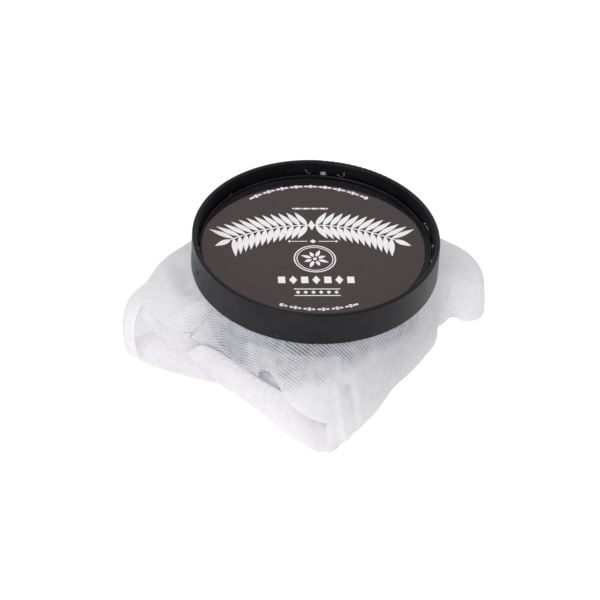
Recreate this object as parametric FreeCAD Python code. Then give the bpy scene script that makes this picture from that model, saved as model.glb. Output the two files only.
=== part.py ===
"""Rosin cake in a clamp-ring holder, wrapped in its knitted cotton cloth.

Millimetres, +Z up.  The origin is on the holder's axis, at the level of the
surface that the wrapped cake rests on.  -Y is the side that faces the player.
"""
import FreeCAD, Part
import math
import os

from FreeCAD import Vector

# ---- driving dimensions -------------------------------------------------
# holder ring, one moulded hoop
RING_OUTER_R = 26.0
RING_WALL = 1.0
RING_HEIGHT = 7.9
RING_EDGE_R = 0.35          # rounding of the hoop's two outer edges
RING_LEAD_IN = 0.3          # chamfer inside the hoop's lower edge
RING_BOTTOM_Z = 16.4        # the cloth and the cake carry the hoop at this height

# pan, the moulded disc pressed into the hoop
PAN_GAP = 0.6               # radial room that the clamped cloth fills
LIP_DEPTH = 2.8             # from the hoop's top down to the pan's lip
LIP_WIDTH = 0.5
LIP_HEIGHT = 0.6            # lip above the floor that carries the label
PAN_FLOOR = 1.0
SKIRT_DEPTH = 3.4           # from the lip's top down to the skirt's end
GRIP_GROOVES = 3            # shallow grooves round the skirt that bite the cloth
GRIP_GROOVE_R = 0.18

# label, a printed paper disc stuck a little off centre
LABEL_R = 23.4
LABEL_THICKNESS = 0.15
LABEL_SHIFT_X = -0.45

# rosin and the pad that holds it under the pan
BOND_R = 20.5
BOND_THICKNESS = 0.4
CAKE_R = 22.6
CAKE_BOTTOM_Z = 2.2
CAKE_TOP_ROUND = 0.6
CAKE_BOTTOM_ROUND = 1.6

# cloth, folded round the cake like a parcel
CLOTH_FIT = 0.05            # room on each side of the clamped band
CLOTH_WALL = 1.1            # the knit with the soft air between its layers
CLOTH_FLOOR = 1.5           # the layers folded under the cake
CLOTH_BAND_TOP = 4.0        # how far the band runs up inside the hoop
CLOTH_ROOF_GAP = 0.15       # below the hoop's lower edge
SECTION_POINTS = 48         # points round each section of the pouch
LEVEL_GAP = 0.5             # least height between two sections of the pouch

# the pouch's outline: four ears, as (azimuth in degrees, half width in degrees)
EARS = {
    "left": (193.0, 27.0),
    "front": (-84.0, 25.0),
    "right": (9.0, 23.0),
    "back": (100.0, 26.0),
}
# reach of the sides and of each ear from the axis, at each height
POUCH_LEVELS = [
    # z,   sides, left, front, right, back
    (0.0, 27.2, 38.4, 40.6, 34.6, 36.6),
    (1.6, 27.8, 39.4, 41.2, 36.0, 37.4),
    (5.5, 27.6, 39.6, 37.6, 37.2, 36.6),
    (10.5, 26.9, 37.8, 32.0, 36.4, 33.2),
    (14.2, 26.2, 30.2, 28.2, 32.0, 29.0),
]
FRONT_LEFT_FOLD = (-124.0, 24.0, 2.6)   # azimuth, half width, extra reach of the turned-up fold
FOLD_TOP_Z = 9.0

# mouth of the left ear, which stays open like a sleeve
MOUTH_AZIMUTH = 213.0
MOUTH_WIDTH = 12.0
MOUTH_TOP_Z = 9.0
MOUTH_START_R = 28.6        # clear of the cake, inside the ear
MOUTH_CUT = 20.0            # past the ear's outer face

# hem, the overlock thread along the cut edge, tucked inside the pouch
HEM_R = 0.45
HEM_INSET = 2.6             # inside the pouch's outer face

# ---- derived dimensions -------------------------------------------------
RING_INNER_R = RING_OUTER_R - RING_WALL
RING_TOP_Z = RING_BOTTOM_Z + RING_HEIGHT
PAN_OUTER_R = RING_INNER_R - PAN_GAP
LIP_TOP_Z = RING_TOP_Z - LIP_DEPTH
PAN_FLOOR_TOP_Z = LIP_TOP_Z - LIP_HEIGHT
PAN_FLOOR_BOTTOM_Z = PAN_FLOOR_TOP_Z - PAN_FLOOR
SKIRT_BOTTOM_Z = LIP_TOP_Z - SKIRT_DEPTH
CAKE_TOP_Z = PAN_FLOOR_BOTTOM_Z - BOND_THICKNESS
ROOF_Z = RING_BOTTOM_Z - CLOTH_ROOF_GAP
Z_AXIS = Vector(0, 0, 1)


def arc(start, middle, end):
    """A circular edge through three (radius, height) points of a profile."""
    places = [Vector(r, 0, z) for r, z in (start, middle, end)]
    return Part.Arc(*places).toShape()


def line(start, end):
    """A straight edge between two (radius, height) points of a profile."""
    return Part.makeLine(Vector(start[0], 0, start[1]), Vector(end[0], 0, end[1]))


def turned(edges):
    """The solid that a closed profile of edges sweeps round the axis."""
    face = Part.Face(Part.Wire(edges))
    return face.revolve(Vector(0, 0, 0), Z_AXIS, 360)


def rounded_corner(centre, radius, from_deg, to_deg):
    """A profile arc about a (radius, height) centre, with its two end points."""
    places = []
    for share in (0.0, 0.5, 1.0):
        angle = math.radians(from_deg + share * (to_deg - from_deg))
        places.append((centre[0] + radius * math.cos(angle), centre[1] + radius * math.sin(angle)))
    return arc(*places), places[0], places[2]


def disc(radius, bottom, top, x=0.0):
    return Part.makeCylinder(radius, top - bottom, Vector(x, 0, bottom))


# ---- the holder ---------------------------------------------------------
def make_outer_ring():
    """The hoop: a plain wall with rounded outer edges and a lead-in below."""
    edge = RING_EDGE_R
    top, top_out, top_in = rounded_corner((RING_OUTER_R - edge, RING_TOP_Z - edge), edge, 0, 90)
    inner, inner_top, inner_low = rounded_corner((RING_INNER_R + edge, RING_TOP_Z - edge), edge, 90, 180)
    low, low_in, low_out = rounded_corner((RING_OUTER_R - edge, RING_BOTTOM_Z + edge), edge, -90, 0)
    lead_wall = (RING_INNER_R, RING_BOTTOM_Z + RING_LEAD_IN)
    lead_foot = (RING_INNER_R + RING_LEAD_IN, RING_BOTTOM_Z)
    return turned([
        low,
        line(low_out, top_out),
        top,
        line(top_in, inner_top),
        inner,
        line(inner_low, lead_wall),
        line(lead_wall, lead_foot),
        line(lead_foot, low_in),
    ])


def make_inner_pan():
    """The pan: a floor for the label, a half-round lip and a grooved skirt."""
    half = LIP_WIDTH / 2
    lip, lip_out, lip_in = rounded_corner((PAN_OUTER_R - half, LIP_TOP_Z - half), half, 0, 180)
    lip_inner_r = PAN_OUTER_R - LIP_WIDTH
    outer_foot = (PAN_OUTER_R, SKIRT_BOTTOM_Z)
    inner_foot = (lip_inner_r, SKIRT_BOTTOM_Z)
    under_rim = (lip_inner_r, PAN_FLOOR_BOTTOM_Z)
    under_axis = (0, PAN_FLOOR_BOTTOM_Z)
    top_axis = (0, PAN_FLOOR_TOP_Z)
    top_rim = (lip_inner_r, PAN_FLOOR_TOP_Z)
    pan = turned([
        lip,
        line(lip_in, top_rim),
        line(top_rim, top_axis),
        line(top_axis, under_axis),
        line(under_axis, under_rim),
        line(under_rim, inner_foot),
        line(inner_foot, outer_foot),
        line(outer_foot, lip_out),
    ])
    pitch = (PAN_FLOOR_BOTTOM_Z - SKIRT_BOTTOM_Z) / GRIP_GROOVES
    for number in range(GRIP_GROOVES):
        height = SKIRT_BOTTOM_Z + pitch * (number + 0.5)
        pan = pan.cut(Part.makeTorus(PAN_OUTER_R, GRIP_GROOVE_R, Vector(0, 0, height), Z_AXIS))
    return pan


def make_label():
    return disc(LABEL_R, PAN_FLOOR_TOP_Z, PAN_FLOOR_TOP_Z + LABEL_THICKNESS, LABEL_SHIFT_X)


# ---- the rosin ----------------------------------------------------------
def make_bond_pad():
    return disc(BOND_R, CAKE_TOP_Z, PAN_FLOOR_BOTTOM_Z)


def make_rosin_cake():
    """The poured cake: a thick disc, well rounded where it left its mould."""
    top, top_out, top_in = rounded_corner(
        (CAKE_R - CAKE_TOP_ROUND, CAKE_TOP_Z - CAKE_TOP_ROUND), CAKE_TOP_ROUND, 0, 90)
    low, low_in, low_out = rounded_corner(
        (CAKE_R - CAKE_BOTTOM_ROUND, CAKE_BOTTOM_Z + CAKE_BOTTOM_ROUND), CAKE_BOTTOM_ROUND, -90, 0)
    top_axis = (0, CAKE_TOP_Z)
    low_axis = (0, CAKE_BOTTOM_Z)
    return turned([
        low,
        line(low_out, top_out),
        top,
        line(top_in, top_axis),
        line(top_axis, low_axis),
        line(low_axis, low_in),
    ])


# ---- the cloth ----------------------------------------------------------
def bump(azimuth, centre, half_width):
    """A smooth hill of height 1 at centre that fades over its half width."""
    away = (azimuth - centre + 180.0) % 360.0 - 180.0
    return math.exp(-((away / half_width) ** 2))


def reach(azimuth, level):
    """How far the pouch's outer face stands from the axis at one level."""
    height, sides, *ears = level
    total = sides
    for ear_reach, (centre, half_width) in zip(ears, EARS.values()):
        total += (ear_reach - sides) * bump(azimuth, centre, half_width)
    fold_azimuth, fold_width, fold_reach = FRONT_LEFT_FOLD
    share = max(0.0, 1.0 - height / FOLD_TOP_Z)
    return total + fold_reach * share * bump(azimuth, fold_azimuth, fold_width)


def section(level, inset):
    """One closed outline of the pouch, inset from its outer face."""
    places = []
    for number in range(SECTION_POINTS):
        azimuth = 360.0 * number / SECTION_POINTS
        out = reach(azimuth, level) - inset
        angle = math.radians(azimuth)
        places.append(Vector(out * math.cos(angle), out * math.sin(angle), level[0]))
    curve = Part.BSplineCurve()
    curve.interpolate(Points=places, PeriodicFlag=True)
    return Part.Wire(curve.toShape())


def level_at(height):
    """The pouch's reaches at any height, read between its stated levels."""
    for low, high in zip(POUCH_LEVELS, POUCH_LEVELS[1:]):
        if low[0] <= height <= high[0]:
            share = (height - low[0]) / (high[0] - low[0])
            return tuple(a + share * (b - a) for a, b in zip(low, high))
    raise ValueError(f"no level at {height}")


def pouch_body(inset, bottom, top):
    """The loft through the pouch's levels, closing to the hoop's width at the top."""
    between = [level for level in POUCH_LEVELS if bottom + LEVEL_GAP < level[0] < top - LEVEL_GAP]
    neck = (top, RING_OUTER_R, *[RING_OUTER_R] * len(EARS))
    levels = [level_at(bottom), *between, neck]
    return Part.makeLoft([section(level, inset) for level in levels], True, False)


def make_cloth():
    """The folded cloth: clamped band, roof under the hoop, ears and floor."""
    shell = pouch_body(0.0, 0.0, ROOF_Z)
    hollow = pouch_body(CLOTH_WALL, CLOTH_FLOOR, ROOF_Z - CLOTH_WALL)
    band_in = PAN_OUTER_R + CLOTH_FIT
    band_out = RING_INNER_R - CLOTH_FIT
    band = disc(band_out, ROOF_Z - CLOTH_WALL, RING_BOTTOM_Z + CLOTH_BAND_TOP)
    opening = disc(band_in, ROOF_Z - 2 * CLOTH_WALL, RING_TOP_Z)
    cloth = shell.cut(hollow).fuse(band).cut(opening)
    return cloth.cut(mouth_cutter())


def mouth_cutter():
    """A round-topped prism through the left ear's wall, above the floor."""
    radius = MOUTH_WIDTH / 2
    spring_z = MOUTH_TOP_Z - radius
    arch = Part.makeCylinder(radius, MOUTH_CUT, Vector(MOUTH_START_R, 0, spring_z), Vector(1, 0, 0))
    foot = Vector(MOUTH_START_R, -radius, CLOTH_FLOOR)
    block = Part.makeBox(MOUTH_CUT, MOUTH_WIDTH, spring_z - CLOTH_FLOOR, foot)
    above_floor = Part.makeBox(MOUTH_CUT, MOUTH_WIDTH, MOUTH_TOP_Z, foot)
    cutter = arch.fuse(block).common(above_floor)
    cutter.rotate(Vector(0, 0, 0), Z_AXIS, MOUTH_AZIMUTH)
    return cutter


def make_cloth_hem():
    """The hem's thread: a loop along the tucked cut edge, on the pouch floor."""
    path = section(level_at(CLOTH_FLOOR + HEM_R + CLOTH_FIT), CLOTH_WALL + HEM_INSET)
    edge = path.Edges[0]
    start = edge.valueAt(edge.FirstParameter)
    tangent = edge.tangentAt(edge.FirstParameter)
    profile = Part.Wire(Part.makeCircle(HEM_R, start, tangent))
    return path.makePipeShell([profile], True, True)


SUB_PARTS = {
    "outer_ring": make_outer_ring,
    "inner_pan": make_inner_pan,
    "label_disc": make_label,
    "bond_pad": make_bond_pad,
    "rosin_cake": make_rosin_cake,
    "wrap_cloth": make_cloth,
    "hem_thread": make_cloth_hem,
}

os.makedirs("parts", exist_ok=True)
for node, make in SUB_PARTS.items():
    shape = make()
    box = shape.BoundBox
    print(f"{node}: {len(shape.Solids)} solid, valid {shape.isValid()}, {shape.Volume:.0f} mm3,"
          f" z {box.ZMin:.2f} to {box.ZMax:.2f}, x {box.XMin:.1f} to {box.XMax:.1f},"
          f" y {box.YMin:.1f} to {box.YMax:.1f}")
    shape.exportStep(f"parts/{node}.step")
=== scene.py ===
"""Rosin cake in a clamp-ring holder, wrapped in its knitted cotton cloth.

Laid out as an add-on and run as a script.  The holder, the label and the rosin
keep their CAD shapes; the cloth, its hem, the printed ornament and the lint in
the holder's groove are made here, in metres, in the CAD model's own frame.
"""
import math
import random

import bmesh
import bpy
import numpy as np
from mathutils import Matrix, Vector


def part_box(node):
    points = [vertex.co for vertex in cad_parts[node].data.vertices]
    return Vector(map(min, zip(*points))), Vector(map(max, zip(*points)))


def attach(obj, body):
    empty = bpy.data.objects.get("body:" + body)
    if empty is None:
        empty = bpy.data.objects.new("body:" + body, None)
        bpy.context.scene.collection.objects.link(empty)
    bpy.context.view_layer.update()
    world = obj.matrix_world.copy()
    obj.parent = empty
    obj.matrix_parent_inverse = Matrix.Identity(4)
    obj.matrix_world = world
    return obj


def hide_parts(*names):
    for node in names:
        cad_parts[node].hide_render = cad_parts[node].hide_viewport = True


bl_info = {
    "name": "Wrapped rosin cake",
    "version": (1, 0, 0),
    "blender": (4, 5, 0),
    "location": "View3D > Sidebar > Rosin",
    "description": "Makes the cloth, label print and finishes of a wrapped rosin cake",
    "category": "Add Mesh",
}

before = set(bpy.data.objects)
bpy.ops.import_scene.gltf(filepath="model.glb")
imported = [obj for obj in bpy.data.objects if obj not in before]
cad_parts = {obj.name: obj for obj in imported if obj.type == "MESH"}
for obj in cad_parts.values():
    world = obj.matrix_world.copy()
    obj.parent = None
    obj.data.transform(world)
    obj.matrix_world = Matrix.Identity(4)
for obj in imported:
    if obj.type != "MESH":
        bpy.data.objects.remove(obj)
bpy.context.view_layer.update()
MM = 0.001
BODY = "root"

RING_LOW, RING_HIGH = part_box("outer_ring")
PAN_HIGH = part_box("inner_pan")[1]
LABEL_LOW, LABEL_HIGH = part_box("label_disc")
RING_R = RING_HIGH[0]
PAN_R = PAN_HIGH[0]
LABEL_X = (LABEL_HIGH[0] + LABEL_LOW[0]) / 2
HOOP_WALL = 1.0 * MM


# ---- settings -------------------------------------------------------------
def colour_property(name, description, hex_colour):
    """A colour setting, stated as sRGB hex and kept linear."""
    return bpy.props.FloatVectorProperty(
        name=name, description=description, subtype="COLOR", size=3, min=0.0, max=1.0,
        default=linear(hex_colour)[:3])


def length_property(name, description, metres):
    return bpy.props.FloatProperty(
        name=name, description=description, default=metres, min=0.0, unit="LENGTH", precision=5)


def linear(hex_colour):
    """An sRGB hex colour as linear red, green, blue and a full alpha."""
    channels = [int(hex_colour[i:i + 2], 16) / 255 for i in (0, 2, 4)]
    flat = [c / 12.92 if c <= 0.04045 else ((c + 0.055) / 1.055) ** 2.4 for c in channels]
    return (*flat, 1.0)


class HolderSettings(bpy.types.PropertyGroup):
    plastic: colour_property("Plastic", "Colour of the moulded hoop and pan", "131216")
    dust: colour_property("Dust", "Colour of the rosin dust on the plastic", "b9b7bb")
    grain: length_property("Grain", "Size of the mould's spark-eroded grain", 0.18 * MM)


class LabelSettings(bpy.types.PropertyGroup):
    paper: colour_property("Paper", "Ground colour of the printed label", "221d22")
    ink: colour_property("Ink", "Colour of the printed ornament", "f6f4fa")
    stroke: length_property("Stroke", "Width of a thin printed line", 0.2 * MM)


class ClothSettings(bpy.types.PropertyGroup):
    yarn: colour_property("Yarn", "Colour of the bleached cotton yarn", "fcfbfd")
    side: length_property("Side", "Side of the square that the cloth was cut to", 120 * MM)
    course: length_property("Course", "Spacing of the knit's rows", 0.68 * MM)
    wale: length_property("Wale", "Spacing of the knit's columns", 0.52 * MM)


class StageSettings(bpy.types.PropertyGroup):
    distance: length_property("Distance", "From the camera to the holder's middle", 0.8)
    elevation: bpy.props.FloatProperty(
        name="Elevation", description="Camera's angle above the horizon",
        default=math.radians(39.06), subtype="ANGLE")
    roll: bpy.props.FloatProperty(
        name="Roll", description="Camera's turn about its own axis",
        default=math.radians(3.36), subtype="ANGLE")


# ---- helpers: objects -----------------------------------------------------
def shown(name, mesh, materials, smooth=True):
    """Links a finished mesh as a piece on the body, at the origin."""
    piece = bpy.data.objects.new(name, mesh)
    bpy.context.scene.collection.objects.link(piece)
    for material in materials:
        mesh.materials.append(material)
    if smooth:
        mesh.polygons.foreach_set("use_smooth", [True] * len(mesh.polygons))
    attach(piece, BODY)
    return piece


def mesh_from(bm, name):
    mesh = bpy.data.meshes.new(name)
    bm.to_mesh(mesh)
    bm.free()
    return mesh


def new_path(name, radius, rings):
    """A curve that is drawn as a round yarn of a radius."""
    path = bpy.data.curves.new(name, "CURVE")
    path.dimensions = "3D"
    path.bevel_depth = radius
    path.bevel_resolution = rings
    return path


def mesh_from_path(path):
    holder = bpy.data.objects.new("path_holder", path)
    mesh = bpy.data.meshes.new_from_object(holder)
    bpy.data.objects.remove(holder)
    return mesh


def on_circle(radius, angle, centre=(0, 0)):
    """x and y at an angle, in radians, on a circle."""
    return centre[0] + radius * math.cos(angle), centre[1] + radius * math.sin(angle)


# ---- helpers: materials ---------------------------------------------------
def new_material(name):
    material = bpy.data.materials.new(name)
    material.use_nodes = True
    tree = material.node_tree
    tree.nodes.clear()
    return material, tree


def add(tree, kind, settings=None, inputs=None, links=None):
    """A node of a kind, with attributes set, input values set and inputs linked."""
    node = tree.nodes.new(kind)
    for key, value in (settings or {}).items():
        setattr(node, key, value)
    for key, value in (inputs or {}).items():
        node.inputs[key].default_value = value
    for key, socket in (links or {}).items():
        tree.links.new(socket, node.inputs[key])
    return node


def output(tree, surface):
    add(tree, "ShaderNodeOutputMaterial", links={"Surface": surface})


def ramp(tree, factor, stops):
    """A colour ramp through (position, grey or colour) stops."""
    node = add(tree, "ShaderNodeValToRGB", links={"Fac": factor})
    elements = node.color_ramp.elements
    while len(elements) < len(stops):
        elements.new(0.5)
    for element, (position, value) in zip(elements, stops):
        element.position = position
        element.color = value if hasattr(value, "__len__") else (value, value, value, 1.0)
    return node.outputs["Color"]


def maths(tree, operation, a, b=None, clamp=False):
    """A Math node on sockets or plain numbers."""
    node = add(tree, "ShaderNodeMath", {"operation": operation, "use_clamp": clamp})
    for index, value in enumerate((a, b)):
        if isinstance(value, bpy.types.NodeSocket):
            tree.links.new(value, node.inputs[index])
        elif value is not None:
            node.inputs[index].default_value = value
    return node.outputs[0]


def mixed_colour(tree, factor, first, second, blend="MIX"):
    node = add(tree, "ShaderNodeMix", {"data_type": "RGBA", "blend_type": blend})
    for key, value in ((0, factor), (6, first), (7, second)):
        if isinstance(value, bpy.types.NodeSocket):
            tree.links.new(value, node.inputs[key])
        else:
            node.inputs[key].default_value = value
    return node.outputs[2]


def object_coordinates(tree):
    return add(tree, "ShaderNodeTexCoord").outputs["Object"]


def noise(tree, place, scale, detail=2.0, roughness=0.5, dimensions="3D"):
    """Cloudy noise of a scale, in patches to the metre."""
    node = add(tree, "ShaderNodeTexNoise", {"noise_dimensions": dimensions},
               {"Scale": scale, "Detail": detail, "Roughness": roughness}, {"Vector": place})
    return node.outputs["Fac"]


def cells(tree, place, scale):
    """Distance from the middle of the nearest of many scattered cells."""
    node = add(tree, "ShaderNodeTexVoronoi", inputs={"Scale": scale}, links={"Vector": place})
    return node.outputs["Distance"]


def bumped(tree, height, strength, distance):
    """A normal that follows a height, with a distance in metres."""
    node = add(tree, "ShaderNodeBump", inputs={"Strength": strength, "Distance": distance},
               links={"Height": height})
    return node.outputs["Normal"]


def principled(tree, colour, normal=None, roughness=0.5, **inputs):
    """A Principled surface; roughness may be a number or a socket."""
    links = {"Base Color": colour, "Normal": normal, "Roughness": roughness}
    sockets = {k: v for k, v in links.items() if isinstance(v, bpy.types.NodeSocket)}
    if "Roughness" not in sockets:
        inputs["Roughness"] = roughness
    inputs = {key.replace("_", " "): value for key, value in inputs.items()}
    return add(tree, "ShaderNodeBsdfPrincipled", inputs=inputs, links=sockets).outputs[0]


# ---- materials ------------------------------------------------------------
def moulded_abs(settings):
    """Injection-moulded black ABS: a satin skin that greys at grazing angles,
    with faint flow marks, a spark-eroded grain and a little white rosin dust."""
    material, tree = new_material("black_abs_moulded")
    place = object_coordinates(tree)
    flow = noise(tree, place, 160.0, 3.0, 0.55)
    near = ramp(tree, cells(tree, place, 420.0), [(0.0, 1.0), (0.09, 0.0)])
    rare = ramp(tree, noise(tree, place, 620.0, 0.0), [(0.66, 0.0), (0.72, 1.0)])
    dust = maths(tree, "MULTIPLY", near, rare)
    bloom = maths(tree, "MULTIPLY", ramp(tree, flow, [(0.45, 0.0), (0.8, 1.0)]), 0.012)
    colour = mixed_colour(tree, maths(tree, "ADD", dust, bloom, clamp=True),
                          (*settings.plastic, 1.0), (*settings.dust, 1.0))
    grain = bumped(tree, noise(tree, place, 1.0 / settings.grain), 0.12, 0.00002)
    output(tree, principled(tree, colour, grain, ramp(tree, flow, [(0.3, 0.3), (0.7, 0.42)]),
                            IOR=1.53, Specular_IOR_Level=0.17))
    return material


def laminated_paper(name, ground):
    """Printed label paper under a clear gloss laminate: a slightly mottled ink
    layer under a smooth, faintly warm skin that mirrors the holder's wall."""
    material, tree = new_material(name)
    place = object_coordinates(tree)
    mottle = noise(tree, place, 900.0, 4.0, 0.6)
    lighter = tuple(min(1.0, c * 1.25 + 0.002) for c in ground)
    shade = mixed_colour(tree, ramp(tree, mottle, [(0.35, 0.0), (0.65, 1.0)]),
                         (*ground, 1.0), (*lighter, 1.0))
    fibres = bumped(tree, noise(tree, place, 5200.0), 0.05, 0.00001)
    output(tree, principled(tree, shade, fibres, 0.06, IOR=1.62, Specular_IOR_Level=0.5,
                            Specular_Tint=(1.0, 0.72, 0.66, 1.0)))
    return material


def poured_rosin():
    """Poured dark rosin: a glassy, nearly black resin with lighter blue patches in a cloud, which
    are a painted blue sheen and not the resin's own colour."""
    material, tree = new_material("dark_rosin_poured")
    place = object_coordinates(tree)
    cloud = noise(tree, place, 110.0, 5.0, 0.6)
    # bloom: the cloudy blue patches of painted sheen, mixed into the resin's colour and also made
    # rougher
    bloom = maths(tree, "MULTIPLY", ramp(tree, cloud, [(0.3, 0.1), (0.7, 0.5)]),
                  noise(tree, place, 2600.0))
    colour = mixed_colour(tree, bloom, linear("0a1228"), linear("4468c0"))
    output(tree, principled(tree, colour, bumped(tree, cloud, 0.2, 0.00003),
                            ramp(tree, bloom, [(0.0, 0.12), (0.3, 0.6)]), IOR=1.55))
    return material


def acrylic_foam():
    """Double-sided acrylic foam pad: dull off-white with fine closed cells, whose pits are painted
    darker as shade.
    """
    material, tree = new_material("acrylic_foam_pad")
    foam = cells(tree, object_coordinates(tree), 4200.0)
    # painted shade: darker towards each cell's middle, where the bump is lowest
    colour = ramp(tree, foam, [(0.0, linear("c9c7bd")), (0.6, linear("e0ded4"))])
    output(tree, principled(tree, colour, bumped(tree, foam, 0.3, 0.00004), 0.75))
    return material


def cotton_knit(settings):
    """Bleached weft-knitted cotton: rows of small yarn loops with pinholes
    between them, soft and matt, that pass some light and show what is close behind."""
    material, tree = new_material("cotton_weft_knit")
    flat = add(tree, "ShaderNodeUVMap", {"uv_map": "flat_cloth"}).outputs["UV"]
    parts = add(tree, "ShaderNodeSeparateXYZ", links={"Vector": flat})
    # flat_cloth is in metres along the courses (X) and across them (Y)
    across = maths(tree, "MULTIPLY", parts.outputs["X"], 2 * math.pi / settings.wale)
    along = maths(tree, "MULTIPLY", parts.outputs["Y"], 2 * math.pi / settings.course)
    half_step = maths(tree, "MULTIPLY", maths(tree, "SINE", across), 0.35)
    loops = maths(tree, "SINE", maths(tree, "ADD", along, half_step))
    columns = maths(tree, "SINE", across)
    weave = maths(tree, "ADD", maths(tree, "MULTIPLY", loops, 0.5),
                  maths(tree, "MULTIPLY", columns, 0.32))
    uneven = noise(tree, flat, 480.0, 3.0, 0.6, "2D")
    slubs = maths(tree, "SUBTRACT", uneven, 0.5)
    height = maths(tree, "ADD", weave, maths(tree, "MULTIPLY", slubs, 1.1))
    hole = ramp(tree, maths(tree, "MULTIPLY", height, -1.0), [(0.0, 0.0), (0.7, 1.0)])
    relief = bumped(tree, height, 0.34, 0.00012)
    tint = ramp(tree, uneven, [(0.3, 0.96), (0.7, 1.0)])
    colour = mixed_colour(tree, 1.0, (*settings.yarn, 1.0), tint, "MULTIPLY")
    yarn = principled(tree, colour, relief, 0.9, Specular_IOR_Level=0.2,
                      Sheen_Weight=0.15, Sheen_Roughness=0.5)
    through = add(tree, "ShaderNodeBsdfTranslucent", links={"Color": colour, "Normal": relief})
    lit = add(tree, "ShaderNodeMixShader", inputs={"Fac": 0.46},
              links={1: yarn, 2: through.outputs[0]})
    # the knit is drawn open where it is stretched over the cake's edge
    drawn = add(tree, "ShaderNodeAttribute", {"attribute_name": "drawn_open"}).outputs["Fac"]
    slack = maths(tree, "ADD", maths(tree, "MULTIPLY", hole, 0.12), 0.015)
    taut = maths(tree, "ADD", maths(tree, "MULTIPLY", hole, 0.42), 0.22)
    open_share = maths(tree, "ADD", slack, maths(tree, "MULTIPLY", taut, drawn), clamp=True)
    clear = add(tree, "ShaderNodeBsdfTransparent")
    surface = add(tree, "ShaderNodeMixShader", links={
        0: open_share, 1: lit.outputs[0], 2: clear.outputs[0]})
    output(tree, surface.outputs[0])
    return material


def sewing_thread():
    """Spun polyester overlock thread: soft white with a fine twist, with painted shade along the
    twist's grooves.
    """
    material, tree = new_material("overlock_thread_spun")
    twist = add(tree, "ShaderNodeTexWave", {"wave_type": "BANDS", "bands_direction": "DIAGONAL"},
                {"Scale": 900.0, "Distortion": 1.5}, {"Vector": object_coordinates(tree)})
    twist = twist.outputs["Fac"]
    # painted shade: the colour is darker where the twist's bump is low, in its grooves
    colour = ramp(tree, twist, [(0.2, linear("dddbd8")), (0.8, linear("f4f2ef"))])
    output(tree, principled(tree, colour, bumped(tree, twist, 0.5, 0.00005), 0.8,
                            Sheen_Weight=0.2))
    return material


def loose_lint():
    """Cotton lint: single white fibres, matt and a little see-through."""
    material, tree = new_material("cotton_lint")
    fuzz = noise(tree, object_coordinates(tree), 3000.0)
    colour = ramp(tree, fuzz, [(0.3, linear("c8c8cc")), (0.7, linear("f2f2f4"))])
    output(tree, principled(tree, colour, roughness=0.9))
    return material


# ---- the cloth's shape ----------------------------------------------------
# The wrapped cloth seen from above is a parcel with four ears.  Each row gives,
# at one azimuth in degrees, how far the cloth stands from the holder's axis in
# millimetres at four heights.  -90 is the front, 0 the right, 180 the left.
WALL_HEIGHTS = (14.2, 10.0, 5.0, 0.6)
WALL = [
    (-176, 32.0, 35.8, 37.8, 37.8), (-172, 32.4, 38.2, 39.6, 39.2), (-166, 32.6, 39.2, 40.7, 40.4),
    (-160, 31.4, 37.4, 39.8, 40.1), (-154, 29.6, 34.3, 36.9, 37.6), (-149, 28.2, 31.0, 33.4, 35.0),
    (-145, 26.0, 27.0, 28.6, 30.0), (-139, 25.2, 25.3, 26.3, 26.6), (-122, 25.1, 25.2, 26.1, 26.0),
    (-112, 25.2, 25.5, 26.6, 26.8), (-106, 26.0, 27.3, 28.6, 30.0), (-100, 26.8, 29.6, 32.0, 34.0),
    (-95, 27.3, 31.4, 35.1, 37.0), (-89, 27.8, 32.8, 37.0, 40.0), (-83, 27.8, 32.6, 37.5, 41.5),
    (-77, 27.4, 30.8, 34.5, 37.8), (-72, 27.1, 30.6, 33.8, 35.4), (-65, 26.8, 29.4, 31.6, 32.4),
    (-56, 26.3, 27.7, 28.5, 28.9), (-47, 25.9, 26.3, 26.4, 26.6), (-35, 25.5, 25.6, 25.7, 25.9),
    (-21, 25.4, 25.6, 25.8, 26.0), (-11, 25.6, 26.0, 26.5, 26.8), (-3, 25.9, 26.5, 26.8, 27.0),
    (2, 26.8, 28.6, 28.0, 27.3), (4.6, 28.4, 32.0, 32.2, 32.8), (7, 30.0, 34.6, 35.6, 35.9),
    (11, 31.2, 36.2, 37.3, 37.6), (18, 32.6, 36.7, 37.6, 37.4), (27, 30.2, 34.8, 36.0, 35.0),
    (34, 28.2, 32.0, 33.0, 32.8), (40, 26.7, 28.8, 30.2, 30.8), (56, 25.6, 26.0, 26.8, 27.8),
    (75, 26.0, 27.0, 28.8, 30.0), (88, 27.0, 30.4, 33.8, 35.2), (99, 28.0, 32.2, 36.0, 37.4),
    (111, 26.9, 29.4, 32.2, 33.8), (128, 25.8, 26.3, 27.2, 28.2), (150, 26.3, 27.6, 29.2, 29.8),
    (165, 28.2, 31.2, 32.8, 33.0), (172, 30.2, 33.0, 34.6, 34.6), (177, 31.4, 34.2, 36.0, 36.2),
]
NECK = [(24.7, 20.2), (24.7, 17.4), (25.2, 16.25)]     # clamped band, then out under the hoop
# Folded edges that hang free of the wall below them, as (azimuth, height).
MOUTH_EDGE = [(-167, 10.9), (-163, 11.3), (-160, 11.2), (-156, 10.6),
              (-151, 9.75), (-148, 8.9), (-146, 7.1), (-144, 6.4)]
FRONT_EDGE = [(-114, 6.2), (-111, 7.5), (-107, 8.5), (-103, 8.2), (-100, 7.5),
              (-97, 6.8), (-94, 6.3), (-90, 5.8), (-83, 5.1)]
PLAIN_EDGE_Z = 7.0
# Azimuths between which the wall is open below its folded edge.
MOUTH_START, MOUTH_END = -163.4, -145.0
FRONT_START, FRONT_END = -113.0, -83.5
# Strips that turn in from those edges: first and last azimuth, the way in as
# (inwards, up) millimetres from the edge, rows, and the wave of the cut edge.
MOUTH_STRIP = ((-164.2, -144.8),
               [(0, 0), (-1.0, -0.1), (-1.7, -1.6), (-2.2, -3.9), (-2.0, -6.1)], 16, 0.75)
FRONT_STRIP = ((-113.4, -83.0), [(0, 0), (-0.5, -0.45), (-1.6, -1.1), (-3.4, -1.7)], 8)
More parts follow.
